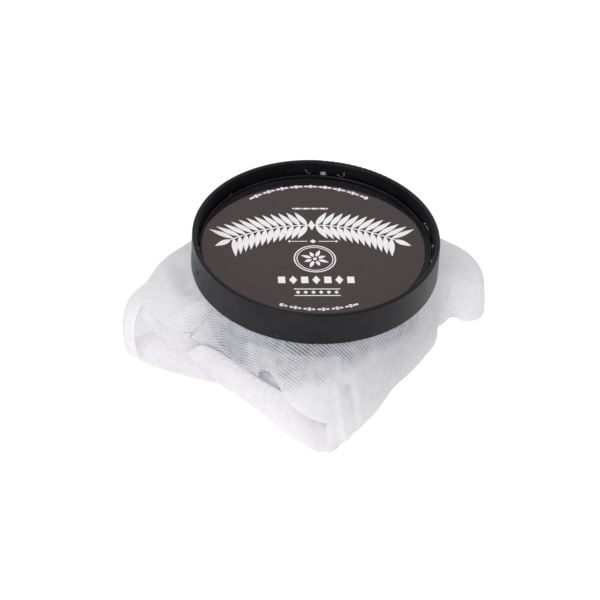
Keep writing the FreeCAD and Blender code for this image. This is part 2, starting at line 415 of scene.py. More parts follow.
# The floor of the left mouth: azimuth and how far it reaches.
TONGUE = [(-167, 40.4), (-163, 40.5), (-160, 40.1), (-154, 37.6), (-146, 33.9),
          (-139, 31.0), (-131, 28.4)]
INNER_SPAN = (-122, -74)        # azimuths of the layer behind the front ear
# The turned-up fold along the front left side: azimuth, reach and height of its
# crest, and reach of its foot.
FOLD = [
    (-150, 30.4, 5.6, 32.0), (-145, 28.6, 6.9, 30.4), (-135, 26.5, 6.7, 28.7),
    (-122, 26.3, 6.2, 28.7), (-113, 27.3, 6.0, 29.9), (-103, 28.4, 5.4, 32.8),
    (-95, 29.8, 4.6, 36.6), (-90, 31.6, 3.2, 39.0), (-86, 33.2, 1.9, 41.0), (-80, 33.6, 1.0, 40.2),
]
# The corners of the cloth, folded in under the parcel one over the other:
# azimuth, reach of the fold, half-width there, height.
CORNERS = [(-84, 34.0, 13.5, 1.02), (17, 28.5, 12.0, 0.76),
           (97, 31.0, 15.0, 0.5), (-170, 30.0, 14.5, 0.24)]
# How far down the cloth, from the clamped band, the inner layers start.
BASE_DOWN, FOLD_DOWN, INNER_DOWN, CORNER_DOWN = 22, 26, 34, 52
COURSE_AZIMUTH = math.radians(-21)      # the courses run along the front left side


def smooth_step(x):
    x = np.clip(x, 0.0, 1.0)
    return x * x * (3 - 2 * x)


def hermite(knots, values, at):
    """A smooth curve through (knots, values), with slopes from the neighbours."""
    knots, values = np.asarray(knots, float), np.asarray(values, float)
    slopes = np.gradient(values, knots, axis=0)
    widths = (knots[2:] - knots[:-2]).reshape(-1, *[1] * (values.ndim - 1))
    slopes[1:-1] = (values[2:] - values[:-2]) / widths
    at = np.clip(at, knots[0], knots[-1])
    i = np.clip(np.searchsorted(knots, at, side="right") - 1, 0, len(knots) - 2)
    width = knots[i + 1] - knots[i]
    t = (at - knots[i]) / width
    if values.ndim > 1:
        t, width = t[..., None], width[..., None]
    h00, h10 = 2 * t**3 - 3 * t**2 + 1, t**3 - 2 * t**2 + t
    h01, h11 = -2 * t**3 + 3 * t**2, t**3 - t**2
    return (h00 * values[i] + h10 * width * slopes[i]
            + h01 * values[i + 1] + h11 * width * slopes[i + 1])


def wall_reaches(azimuths):
    """The wall's reach at each of WALL_HEIGHTS, for azimuths in degrees."""
    rows = [(a + turn, *rest) for turn in (-360, 0, 360) for a, *rest in WALL]
    table = np.array(sorted(rows))
    return hermite(table[:, 0], table[:, 1:], np.asarray(azimuths, float))


def running_length(points, power=1.0):
    """The way from the first point to each; a power below 1 favours short steps."""
    steps = np.linalg.norm(np.diff(points, axis=0), axis=1) ** power
    return np.concatenate([[0.0], np.cumsum(steps)])


def polyline_at(points, shares):
    """Points at shares of the length of a polyline."""
    length = running_length(points)
    wanted = np.asarray(shares) * length[-1]
    return np.stack([np.interp(wanted, length, points[:, k]) for k in range(points.shape[1])], 1)


def wall_profile(reaches):
    """(reach, height) points down the wall at one azimuth, from the neck to the floor."""
    places = np.array(NECK + list(zip(reaches, WALL_HEIGHTS)))
    steps = running_length(places, 0.5)
    return hermite(steps, places, np.linspace(0, steps[-1], 160))


def edge_height(azimuths):
    """Height of the row of the wall that the free folded edges lie on."""
    plain = [(azimuth, PLAIN_EDGE_Z) for azimuth in (-185, -135, -118, -55, 175, 185)]
    knots = sorted([*plain, *MOUTH_EDGE, *FRONT_EDGE, (-72, 5.5)])
    table = np.array(knots)
    wrapped = (np.asarray(azimuths) + 180) % 360 - 180
    return np.interp(wrapped, table[:, 0], table[:, 1])


def in_window(azimuth):
    """True where the wall is open below its folded edge."""
    return MOUTH_START < azimuth < MOUTH_END or FRONT_START < azimuth < FRONT_END


# Where the knit is stretched over the cake: azimuth, how much, and down to which height.
TAUT = [
    (-180, 0.0, 12), (-170, 0.1, 13), (-163, 0.4, 13), (-156, 0.1, 13), (-152, 0.05, 12),
    (-145, 0.45, 7), (-138, 0.85, 4), (-120, 0.88, 3.5), (-104, 1.1, 4), (-97, 1.35, 6),
    (-88, 1.3, 8.5), (-78, 1.1, 10.5), (-60, 0.75, 11.5), (-46, 0.85, 11), (-32, 0.7, 9),
    (-10, 0.55, 9), (3, 0.1, 12), (40, 0.1, 12), (60, 0.6, 9), (80, 0.1, 12), (110, 0.1, 12),
    (130, 0.6, 9), (155, 0.2, 11), (166, 0.0, 12), (180, 0.0, 12),
]


def drawn_open(places):
    """How far the knit is drawn open at each place."""
    table = np.array(TAUT)
    around = np.degrees(np.arctan2(places[:, 1], places[:, 0]))
    taut = np.interp(around, table[:, 0], table[:, 1])
    taut *= smooth_step((places[:, 2] - np.interp(around, table[:, 0], table[:, 2])) / 3.5)
    return taut * smooth_step((33.5 - np.hypot(places[:, 0], places[:, 1])) / 3.0)


def lean(azimuths):
    """How far, in degrees, the mouth's left border leans over at the floor."""
    return 7.0 * np.exp(-((np.asarray(azimuths) - MOUTH_START) / 8.0) ** 2)


# Small moves of the cloth along creases and soft ridges, as (start, end, width,
# move) in millimetres: all that lies within the width goes with them.
RELIEF = [
    ((-21.4, -14.2, 15.6), (-25.6, -16.0, 9.6), 0.95, (2.3, 1.5, -0.4)),
    ((-23.6, -13.0, 15.6), (-27.8, -14.4, 10.4), 1.2, (-0.9, -0.5, 0.5)),
    ((-27.6, -1.5, 15.5), (-26.2, -8.5, 15.2), 1.7, (0.8, 0.1, -1.1)),
    ((-31.0, -2.0, 14.0), (-29.4, -9.0, 13.6), 1.6, (-0.4, 0.0, 0.6)),
    ((-20.4, -15.4, 14.0), (-20.3, -16.2, 8.0), 1.0, (-0.3, -0.3, 0.0)),
    ((-18.0, -17.8, 14.6), (-17.2, -18.8, 8.0), 1.1, (0.3, 0.35, 0.0)),
    ((-15.5, -19.8, 15.0), (-14.2, -20.9, 8.0), 1.1, (-0.25, -0.35, 0.0)),
    ((5.9, -30.8, 9.6), (8.2, -36.2, 1.4), 1.15, (0.35, -1.25, 0.1)),
    ((8.5, -31.0, 8.0), (10.3, -34.2, 2.6), 1.35, (-0.3, 2.1, 0.0)),
    ((12.4, -29.2, 8.0), (14.0, -31.6, 3.0), 2.4, (-0.3, 0.6, 0.0)),
    ((28.2, 6.0, 15.2), (30.3, 1.7, 8.0), 1.6, (-1.3, 0.7, -0.6)),
    ((33.6, 9.0, 12.8), (35.4, 4.6, 8.4), 1.5, (0.4, -0.3, 0.5)),
    ((28.0, 1.1, 4.6), (30.4, 2.2, 0.8), 2.0, (-0.5, 2.8, 0.2)),
    ((17.0, -20.8, 4.6), (20.9, -14.8, 11.5), 1.4, (-0.45, 0.4, 0.0)),
    ((19.6, -21.0, 4.0), (24.2, -13.4, 11.5), 1.6, (0.5, -0.35, 0.0)),
    ((12.4, -25.0, 12.0), (15.6, -30.0, 3.0), 1.8, (-0.35, 0.5, 0.0)),
    ((-9.0, 31.5, 12.0), (-7.0, 33.5, 2.0), 1.8, (0.2, -1.1, 0.0)),
    ((5.0, 31.0, 13.0), (7.5, 33.0, 2.0), 1.8, (0.0, -0.9, 0.0)),
    ((27.0, 18.0, 14.0), (29.5, 19.5, 2.0), 1.8, (-0.8, -0.5, 0.0)),
    ((-27.0, 13.0, 14.0), (-30.0, 14.5, 2.0), 1.7, (0.8, -0.4, 0.0)),
]


def relieved(places):
    """The places, moved along the creases and ridges of RELIEF."""
    places = np.array(places, float)
    moved = np.zeros_like(places)
    for start, end, width, move in RELIEF:
        start, end = np.array(start), np.array(end)
        along = end - start
        share = np.clip(((places - start) @ along) / (along @ along), 0, 1)[..., None]
        gap = np.linalg.norm(places - start - share * along, axis=-1)
        moved += np.exp(-(gap / width) ** 2)[..., None] * np.array(move)
    # the clamped band under the hoop stays where it is
    held = smooth_step((16.6 - places[..., 2]) / 1.2)[..., None]
    return places + moved * held


# ---- the cloth's mesh -----------------------------------------------------
COLUMNS = 420
ROWS_UPPER = 36         # from the clamped band to the folded edge
ROWS_LOWER = 16         # from the folded edge to the floor
ROWS_BASE = 26          # from the floor's outline to the middle underneath
MERGE = 0.02            # millimetres
UNDER = 1.2             # how far a lower edge is tucked in under itself
LOWEST = 0.16           # height of the lowest layer's middle


def column_azimuths():
    """Azimuths of the wall's columns, evenly spaced along the cloth's outline."""
    fine = np.linspace(-180, 180, 2881)
    angle = np.radians(fine)
    reaches = wall_reaches(fine)
    x, y = reaches * np.cos(angle)[:, None], reaches * np.sin(angle)[:, None]
    steps = np.hypot(np.diff(x, axis=0), np.diff(y, axis=0)).mean(axis=1)
    length = np.concatenate([[0.0], np.cumsum(steps)])
    return np.interp(np.linspace(0, length[-1], COLUMNS + 1), length, fine)


def turned_place(profile, azimuth):
    """(reach, height) points of one column as x, y, z."""
    x, y = on_circle(profile[:, 0], math.radians(azimuth))
    return np.stack([x, y, profile[:, 1]], 1)


def round_share(azimuth):
    """An azimuth in degrees as a share of the way round from -180."""
    return (azimuth + 180) / 360


def flat_place(down, column):
    """Where a point of the cloth lay on the flat cut, in millimetres along and
    across the courses: down is the way from the neck, column its share round."""
    turn = 2 * np.pi * column - np.pi - COURSE_AZIMUTH
    reach = NECK[0][0] + down
    return np.stack([reach * np.cos(turn), reach * np.sin(turn)], -1)


def way_along(places):
    """Length along each column of a grid of places, from its first row."""
    steps = np.linalg.norm(np.diff(places, axis=1), axis=-1)
    return np.concatenate([np.zeros((len(places), 1)), np.cumsum(steps, axis=1)], axis=1)


class Patch:
    """A grid of cloth: columns x rows of places, with their flat places."""

    def __init__(self, places, flat):
        self.places, self.flat = places, flat

    def into(self, bm, layer, keep=None):
        """Adds the patch to a bmesh made of millimetres, as a grid moved into shape."""
        columns, rows = self.places.shape[:2]
        made = bmesh.ops.create_grid(
            bm, x_segments=columns - 1, y_segments=rows - 1, size=1.0)["verts"]
        index = {}
        for vert in made:
            i = round((vert.co.x + 1) / 2 * (columns - 1))
            j = round((vert.co.y + 1) / 2 * (rows - 1))
            index[vert] = (i, j)
            vert.co = self.places[i, j]
        dropped = []
        for face in {f for v in made for f in v.link_faces}:
            corners = [index[loop.vert] for loop in face.loops]
            if keep and not keep(min(c[0] for c in corners), min(c[1] for c in corners)):
                dropped.append(face)
                continue
            for loop, (i, j) in zip(face.loops, corners):
                loop[layer].uv = self.flat[i, j] * MM
        bmesh.ops.delete(bm, geom=dropped, context="FACES")


def wall_column(azimuth):
    """One column of the wall as (reach, height) rows, above and below the folded edge."""
    profile = wall_profile(wall_reaches([azimuth])[0])
    edge = float(edge_height(azimuth))
    cut = int(np.argmax(profile[:, 1] < edge))
    share = (profile[cut - 1, 1] - edge) / (profile[cut - 1, 1] - profile[cut, 1])
    middle = profile[cut - 1] + share * (profile[cut] - profile[cut - 1])
    upper = polyline_at(np.vstack([profile[:cut], middle]), np.linspace(0, 1, ROWS_UPPER + 1))
    lower = polyline_at(np.vstack([middle, profile[cut:]]), np.linspace(0, 1, ROWS_LOWER + 1))
    return np.vstack([upper, lower[1:]])


def main_wall(azimuths):
    """The wall of the parcel, from the clamped band down to the floor."""
    places = np.array([turned_place(wall_column(a), a) for a in azimuths])
    for i in np.nonzero(lean(azimuths) > 0.02)[0]:
        for k in range(1, ROWS_LOWER + 1):
            row = ROWS_UPPER + k
            azimuth = azimuths[i] + lean(azimuths[i]) * k / ROWS_LOWER
            places[i, row] = turned_place(wall_column(azimuth), azimuth)[row]
    places = relieved(places)
    places[-1] = places[0]
    share = np.linspace(0, 1, len(azimuths))[:, None]
    return Patch(places, flat_place(way_along(places), share))


def inner_wall():
    """The cloth close to the cake, behind the folded edge of the front ear."""
    columns, rows = [], 19
    azimuths = np.linspace(*INNER_SPAN, 64)
    for azimuth in azimuths:
        out = 1.9 * math.exp(-((azimuth + 104) / 8) ** 2)
        profile = hermite(
            [0, 1, 2, 3],
            [(24.6, 12.0), (24.1 + 0.6 * out, 8.0), (24.4 + out, 4.5), (27.5, 0.75)],
            np.linspace(0, 3, rows))
        gathers = 0.25 * math.sin(math.radians(azimuth * 13))
        profile[:, 0] += gathers * np.linspace(0.2, 1, rows)
        columns.append(turned_place(profile, azimuth))
    places = np.array(columns)
    turn = round_share(azimuths[:, None])
    return Patch(places, flat_place(INNER_DOWN + way_along(places), turn))


def within(azimuths, first, last):
    """Numbers of the columns whose azimuth lies between two."""
    return [i for i, azimuth in enumerate(azimuths) if first <= azimuth <= last]


def strip_inwards(wall, azimuths, span, path, rows, scallop=0.0):
    """A strip that turns in from the wall's folded edge, over a span of azimuths.
    path gives (inwards, up) millimetres from the edge; its last row may be scalloped."""
    steps = running_length(path)
    turned = hermite(steps, path, np.linspace(0, steps[-1], rows + 1))
    places, flats = [], []
    for i in within(azimuths, *span):
        start = wall.places[i, ROWS_UPPER]
        out = Vector((start[0], start[1], 0)).normalized()
        share = (azimuths[i] - span[0]) / (span[1] - span[0])
        ends = min(1.0, 6 * share, 6 * (1 - share))
        wave = scallop * (0.7 - 1.5 * abs(math.sin(azimuths[i] * 0.62)))
        column = []
        for k, (inward, up) in enumerate(turned):
            share = k / rows
            column.append([
                start[0] + out.x * inward * (0.3 + 0.7 * ends),
                start[1] + out.y * inward * (0.3 + 0.7 * ends),
                start[2] + up * (0.55 + 0.45 * ends) + wave * share * share])
        places.append(column)
        down = way_along(np.array([column]))[0]
        flats.append(flat_place(way_along(wall.places[i:i + 1])[0, ROWS_UPPER] + down,
                                i / (len(azimuths) - 1)))
    return Patch(np.array(places), np.array(flats))


def floor_tongue(azimuths):
    """The cloth's lower layer that shows in the open mouth of the left ear."""
    table = np.array(TONGUE)
    chosen = within(azimuths, table[0, 0], table[-1, 0])
    places = []
    for i in chosen:
        out = float(hermite(table[:, 0], table[:, 1], azimuths[i]))
        profile = hermite([0, 1, 2, 3, 4],
                          [(24.0, 4.6), (max(out - 7, 24.2), 2.8), (out - 2.5, 1.2),
                           (out, 0.55), (out - UNDER, 0.2)],
                          np.linspace(0, 4, 15))
        places.append(turned_place(profile, azimuths[i]))
    places = np.array(places)
    turn = np.array(chosen)[:, None] / (len(azimuths) - 1)
    return Patch(places, flat_place(INNER_DOWN + way_along(places), turn))


def turned_up_fold():
    """The fold of spare cloth that stands up along the front left side."""
    table = np.array(FOLD)
    columns, rows = 150, 34
    # shares along the section: valley, back of the crest, crest, face, foot, under
    section_steps = np.array([0.0, 0.16, 0.36, 0.44, 0.66, 0.9, 1.0])
    starts = np.array([-143.0, -143.5, -144.5, -145.8, -148.8, -134.0, -131.0])
    end = table[-1, 0]
    places = np.zeros((columns + 1, rows + 1, 3))
    for j in range(rows + 1):
        share = j / rows
        start = float(hermite(section_steps, starts, share))
        for i in range(columns + 1):
            azimuth = start + (i / columns) * (end - start)
            crest, crest_z, foot = hermite(table[:, 0], table[:, 1:], azimuth)
            section = np.array([
                (crest - 2.6, 0.9), (crest - 1.5, crest_z * 0.55), (crest - 0.35, crest_z - 0.25),
                (crest + 0.35, crest_z - 0.15), ((crest + foot) / 2 + 0.6, crest_z * 0.55),
                (foot, 0.55), (foot - UNDER, 0.22)])
            reach, height = hermite(section_steps, section, share)
            curl = smooth_step(1 - i / 7.0)
            reach -= 1.3 * curl * (1 if share > 0.4 else 0.4)
            height *= 1 - 0.12 * curl
            places[i, j] = (*on_circle(reach, math.radians(azimuth)), height)
    turn = round_share(np.linspace(-146, end, columns + 1)[:, None])
    return Patch(places, flat_place(FOLD_DOWN + way_along(places), turn))


GAP_END = -83           # azimuth where the fold's foot meets the wall's


def base_outline(azimuths):
    """Reach of the parcel's outline on the floor."""
    fold, tongue = np.array(FOLD), np.array(TONGUE)
    reach = wall_reaches(azimuths)[:, -1]
    in_fold = (azimuths > tongue[-1, 0]) & (azimuths < GAP_END)
    in_tongue = (azimuths > tongue[0, 0]) & (azimuths <= tongue[-1, 0])
    reach = np.where(in_fold, hermite(fold[:, 0], fold[:, 3], azimuths) - UNDER, reach)
    return np.where(in_tongue, hermite(tongue[:, 0], tongue[:, 1], azimuths) - UNDER, reach)


def base_layer(azimuths):
    """The cloth's way in under the cake, gathered in shallow pleats."""
    outline = base_outline(azimuths)
    shares = np.linspace(0, 1, ROWS_BASE + 1)
    places = np.zeros((len(azimuths), ROWS_BASE + 1, 3))
    for i, (azimuth, out) in enumerate(zip(azimuths, outline)):
        in_gap = TONGUE[0][0] < azimuth < GAP_END
        profile = np.array([(out, 0.22 if in_gap else 0.6), (out - 0.35, 0.2), (out - 1.4, 0.2),
                            (out * 0.66, 1.25), (out * 0.5, 1.35), (2.0, 1.4)])
        line = polyline_at(profile, shares)
        reach, height = line[:, 0], line[:, 1]
        depth = smooth_step((out - reach - 2) / (0.5 * out))
        pleats = 0.24 * depth * (1 + np.sin(np.radians((azimuth + 26 * depth ** 2) * 22)))
        angle = np.radians(azimuth + 12 * depth ** 2)
        places[i, :, 0] = reach * np.cos(angle)
        places[i, :, 1] = reach * np.sin(angle)
        places[i, :, 2] = height + pleats
    places = relieved(places)
    places[..., 2] = np.maximum(places[..., 2], LOWEST)
    share = np.linspace(0, 1, len(azimuths))[:, None]
    return Patch(places, flat_place(BASE_DOWN + way_along(places), share))


def corner_flaps():
    """The four corners as triangles that cross in the middle underneath."""
    columns, rows = 44, 36
    flaps = []
    for number, (azimuth, fold, half, level) in enumerate(CORNERS):
        angle = math.radians(azimuth)
        out = np.array(on_circle(1.0, angle))
        side = np.array([-out[1], out[0]])
        places = np.zeros((columns + 1, rows + 1, 3))
        for i in range(columns + 1):
            v = 2 * i / columns - 1
            for j in range(rows + 1):
                u = j / rows
                reach = fold - (fold + 3.5) * u - (fold - 21.5) * v * v * (1 - u)
                width = half * (1 - u) ** 0.7 + 0.6
                ripple = (0.05 * math.sin(7.0 * v + 3.0 * u + number)
                          + 0.04 * math.sin(11.0 * u - 4.0 * v))
                place = out * reach + side * (v * width)
                places[i, j] = (*place, level + ripple - 0.16 * (1 - smooth_step(u * 5)))
        turn = round_share(azimuth) + np.linspace(-0.09, 0.09, columns + 1)[:, None]
        flaps.append(Patch(places, flat_place(CORNER_DOWN + way_along(places), turn)))
    return flaps


class ROSIN_OT_wrap_cloth(bpy.types.Operator):
    """Makes the knitted cloth, folded round the cake like a parcel"""
    bl_idname = "rosin.wrap_cloth"
    bl_label = "Wrap cloth"

    def execute(self, context):
        settings = context.scene.rosin_cloth
        azimuths = column_azimuths()
        wall = main_wall(azimuths)
        bm = bmesh.new()
        layer = bm.loops.layers.uv.new("flat_cloth")

        def wall_stays(i, j):
            return j < ROWS_UPPER or not in_window((azimuths[i] + azimuths[i + 1]) / 2)

        wall.into(bm, layer, wall_stays)
        mouth = strip_inwards(wall, azimuths, *MOUTH_STRIP)
        front = strip_inwards(wall, azimuths, *FRONT_STRIP)
        for patch in (mouth, front, inner_wall(), floor_tongue(azimuths), turned_up_fold(),
                      base_layer(azimuths), *corner_flaps()):
            patch.into(bm, layer)
        bmesh.ops.remove_doubles(bm, verts=bm.verts, dist=MERGE)
        drawn = bm.verts.layers.float.new("drawn_open")
        bm.verts.ensure_lookup_table()
        taut = drawn_open(np.array([vert.co for vert in bm.verts]))
        for vert, value in zip(bm.verts, taut):
            vert[drawn] = float(value)
        bmesh.ops.scale(bm, vec=(MM, MM, MM), verts=bm.verts)
        bmesh.ops.recalc_face_normals(bm, faces=bm.faces)
        mesh = mesh_from(bm, "wrap_cloth_knit")
        cloth = shown("wrap_cloth_knit", mesh, [cotton_knit(settings)])
        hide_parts("wrap_cloth")
        # the last row of the left mouth's turned-in strip is the cut edge that the hem follows
        hem_line["places"] = mouth.places[:, -1]
        return {"FINISHED"}


hem_line = {}       # the left mouth's cut edge, set where the cloth is made


class ROSIN_OT_hem(bpy.types.Operator):
    """Makes the overlocked thread along the cloth's cut edge"""
    bl_idname = "rosin.hem"
    bl_label = "Hem thread"

    def execute(self, context):
        places = [Vector(p) * MM for p in hem_line["places"]]
        path = new_path("hem_overlock", 0.13 * MM, 2)
        path.use_fill_caps = True
        spline = path.splines.new("POLY")
        loops = []
        for number, (here, there) in enumerate(zip(places, places[1:])):
            loops.append(here)
            side = Vector((0, 0, 0.55 * MM if number % 2 else -0.1 * MM))
            loops.append((here + there) / 2 + side)
        spline.points.add(len(loops) - 1)
        for point, place in zip(spline.points, loops):
            point.co = (*place, 1.0)
        thread = shown("hem_overlock", mesh_from_path(path), [sewing_thread()])
        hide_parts("hem_thread")
        return {"FINISHED"}


# ---- the label's ornament, in millimetres about the label's middle ----------
INK_Z = 0.012
INK_FILM = 0.02
PRINT_TURN = math.radians(5.3)


def spot(x, y, turn=0.0, width=2.0, height=2.0):
    """Puts a mark of half-size 1 at x, y with a turn, a width and a height."""
    size = Matrix.Diagonal((width / 2, height / 2, 1, 1))
    return Matrix.Translation((x, y, 0)) @ Matrix.Rotation(turn, 4, "Z") @ size


def ink_disc(bm, x, y, radius, segments=24):
    bmesh.ops.create_circle(bm, cap_ends=True, segments=segments, radius=radius,
                            matrix=spot(x, y))


def ink_bar(bm, x, y, width, height, turn=0.0):
    bmesh.ops.create_grid(bm, x_segments=1, y_segments=1, size=1.0,
                          matrix=spot(x, y, turn, width, height))


def ink_lozenge(bm, x, y, width, height):
    bmesh.ops.create_circle(bm, cap_ends=True, segments=4, radius=1.0,
                            matrix=spot(x, y, 0.0, width, height))


def ink_leaf(bm, x, y, length, width, turn):
    """A pointed leaf that starts at x, y and runs along turn."""
    made = bmesh.ops.create_circle(bm, cap_ends=True, segments=20, radius=1.0)["verts"]
    place = spot(x, y, turn)
    for vert in made:
        along = vert.co.x
        belly = (1 - along ** 2) * (1 - 0.35 * along)
        side = math.copysign(belly, vert.co.y) if abs(vert.co.y) > 1e-6 else 0.0
        vert.co = place @ Vector(((along + 1) / 2 * length, side * width / 2, 0))


def ink_arc(bm, centre, radius, start, end, width, steps=36):
    """A ring or arc of even width, swept from start to end in degrees."""
    ends = [bm.verts.new((*on_circle(r, math.radians(start), centre), 0))
            for r in (radius - width / 2, radius + width / 2)]
    edge = bm.edges.new(ends)
    whole = abs(end - start) >= 360
    bmesh.ops.spin(bm, geom=[*ends, edge], cent=(*centre, 0), axis=(0, 0, 1), dvec=(0, 0, 0),
                   angle=math.radians(end - start), steps=steps, use_merge=whole,
                   use_duplicate=False)


def bead_and_reel(bm, radius, middle, half_width, count, size):
    """Beads and short dashes in turn, round an arc about the label's middle."""
    for number in range(count):
        angle = middle + half_width * (1 - 2 * number / (count - 1))
        x, y = on_circle(radius, math.radians(angle))
        if number % 3 == 1:
            ink_disc(bm, x, y, size * 0.34, 14)
        else:
            ink_bar(bm, x, y, size * 0.95, size * 0.34, math.radians(angle - 90))


def laurel(bm, stroke):
    """Two laurel branches that meet over the middle and follow one arch."""
    radius, centre = 33.0, (0, -25.6)
    half_span, first, step = 31.5, 1.6, 2.6     # degrees from the middle
    for side in (-1, 1):
        start, end = 90.0 - side * 1.2, 90.0 - side * half_span
        ink_arc(bm, centre, radius, start, end, stroke * 1.6, 24)
        for number in range(12):
            angle = math.radians(90 - side * (first + step * number))
            x, y = on_circle(radius, angle, centre)
            along = angle - side * math.pi / 2
            for fan in (-1, 1):
                ink_leaf(bm, x, y, 5.0 + 0.09 * number, 1.25, along + fan * math.radians(62))
        tip = math.radians(end)
        ink_leaf(bm, *on_circle(radius, tip, centre), 4.0, 1.4, tip - side * math.pi / 2)
    ink_lozenge(bm, 0, centre[1] + radius, 1.5, 3.4)


def rosette(bm, middle, stroke):
    """An eight-leaved rosette inside a double ring."""
    ink_arc(bm, middle, 4.3, 0, 360, stroke * 1.4, 64)
    ink_arc(bm, middle, 3.75, 0, 360, stroke, 64)
    for number in range(8):
        turn = math.radians(45 * number + 22.5)
        ink_leaf(bm, *on_circle(0.75, turn, middle), 2.35 if number % 2 else 1.7, 0.8, turn)
    ink_disc(bm, *middle, 0.42)


def rows_of_marks(bm, stroke):
    """The plain rules, lozenges and dots above and below the medallion."""
    top, rule, band, foot = 13.0, 2.0, -10.7, -14.7
    for x in (-2.7, -0.9, 0.9, 2.7):
        ink_bar(bm, x, top, 1.1, 0.5)
    for x in (-3.6, -1.8, 0.0, 1.8, 3.6):
        ink_disc(bm, x, top, 0.22, 12)
    for side in (-1, 1):
        ink_bar(bm, side * 3.0, rule, 3.6, stroke)
        ink_lozenge(bm, side * 4.9, rule, 0.8, 0.8)
    ink_lozenge(bm, 0, rule, 1.3, 1.3)
    for number in range(7):
        x = -7.2 + 2.4 * number
        if number % 2:
            ink_lozenge(bm, x, band, 1.7, 2.7)
        else:
            ink_bar(bm, x, band, 1.5, 2.1)
    for side in (-1, 1):
        ink_bar(bm, 0, foot + side * 1.05, 9.6, stroke * 1.3)
    for number in range(6):
        ink_lozenge(bm, -4.0 + 1.6 * number, foot, 0.95, 1.15)


class ROSIN_OT_label(bpy.types.Operator):
    """Finishes the label and prints its generic ornament"""
    bl_idname = "rosin.label"
    bl_label = "Label"

    def execute(self, context):
        settings = context.scene.rosin_label
        stroke = settings.stroke / MM
        assign("label_disc", laminated_paper("gloss_laminated_print", settings.paper))
        bm = bmesh.new()
        bead_and_reel(bm, 20.6, 90, 36, 26, 1.5)
        bead_and_reel(bm, 20.2, -90, 22, 17, 1.5)
        laurel(bm, stroke)
        rosette(bm, (0.1, -3.8), stroke)
        rows_of_marks(bm, stroke)
        bmesh.ops.remove_doubles(bm, verts=bm.verts, dist=1e-5)
        for face in bm.faces:
            if face.normal.z < 0:
                face.normal_flip()
        bmesh.ops.solidify(bm, geom=bm.faces[:], thickness=-INK_FILM)
        bmesh.ops.recalc_face_normals(bm, faces=bm.faces)
        place = Matrix.Translation((LABEL_X, 0, LABEL_HIGH[2] + INK_Z * MM))
        turn = Matrix.Rotation(PRINT_TURN, 4, "Z")
        bmesh.ops.transform(bm, matrix=place @ turn @ Matrix.Scale(MM, 4), verts=bm.verts)
        mesh = mesh_from(bm, "label_ornament")
        shown("label_ornament", mesh, [laminated_paper("gloss_laminated_ink", settings.ink)],
              smooth=False)
        return {"FINISHED"}


def assign(node, material):
    """Gives a CAD node's object one material, leaving its mesh alone."""
    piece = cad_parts[node]
    if not piece.material_slots:
        raise RuntimeError(f"{node} has no material slot")
    for slot in piece.material_slots:
        slot.link = "OBJECT"
        slot.material = material


class ROSIN_OT_holder(bpy.types.Operator):
    """Finishes the moulded hoop and pan"""
    bl_idname = "rosin.holder"
    bl_label = "Holder"

    def execute(self, context):
        plastic = moulded_abs(context.scene.rosin_holder)
        assign("outer_ring", plastic)
        assign("inner_pan", plastic)
        return {"FINISHED"}


GATE_ANGLE = math.radians(-159)
GATE_R = 0.42 * MM
GATE_STANDS = 0.16 * MM     # where the stub's ball is cut off, from its middle
GATE_Z = RING_LOW[2] + 3.6 * MM


class ROSIN_OT_gate(bpy.types.Operator):
    """Makes the little sheared stub where the hoop's moulding gate was"""
    bl_idname = "rosin.gate"
    bl_label = "Gate stub"

    def execute(self, context):
        bm = bmesh.new()
        made = bmesh.ops.create_icosphere(bm, subdivisions=3, radius=GATE_R)["verts"]
        for vert in made:
            vert.co.x = min(vert.co.x, GATE_STANDS) * 0.8
            vert.co.z *= 1.35
        turn = Matrix.Rotation(GATE_ANGLE, 4, "Z")
        place = Matrix.Translation((*on_circle(RING_R, GATE_ANGLE), GATE_Z))
        bmesh.ops.transform(bm, matrix=place @ turn, verts=bm.verts)
        shown("gate_stub", mesh_from(bm, "gate_stub"),
              [moulded_abs(context.scene.rosin_holder)])
        return {"FINISHED"}


class ROSIN_OT_cake(bpy.types.Operator):
    """Finishes the poured rosin and the pad that holds it"""
    bl_idname = "rosin.cake"
    bl_label = "Rosin cake"

    def execute(self, context):
        assign("rosin_cake", poured_rosin())
        assign("bond_pad", acrylic_foam())
        return {"FINISHED"}


# Azimuth and spread in degrees, number of fibres, length in millimetres.
TUFTS = [(88.6, 0.45, 34, 0.75), (23, 0.4, 7, 0.6), (5, 0.4, 8, 0.6), (78, 1.5, 2, 1.3),
         (97, 2.0, 2, 1.2), (14, 4.0, 3, 1.2), (140, 2.0, 1, 0.9), (-40, 2.0, 1, 0.8),
         (200, 2.0, 1, 0.9)]
GROOVE_R = (PAN_R + RING_R - HOOP_WALL) / 2
GROOVE_Z = PAN_HIGH[2] - 0.1 * MM
LINT_INNER, LINT_OUTER = PAN_R - 0.3 * MM, RING_R - HOOP_WALL - 0.08 * MM


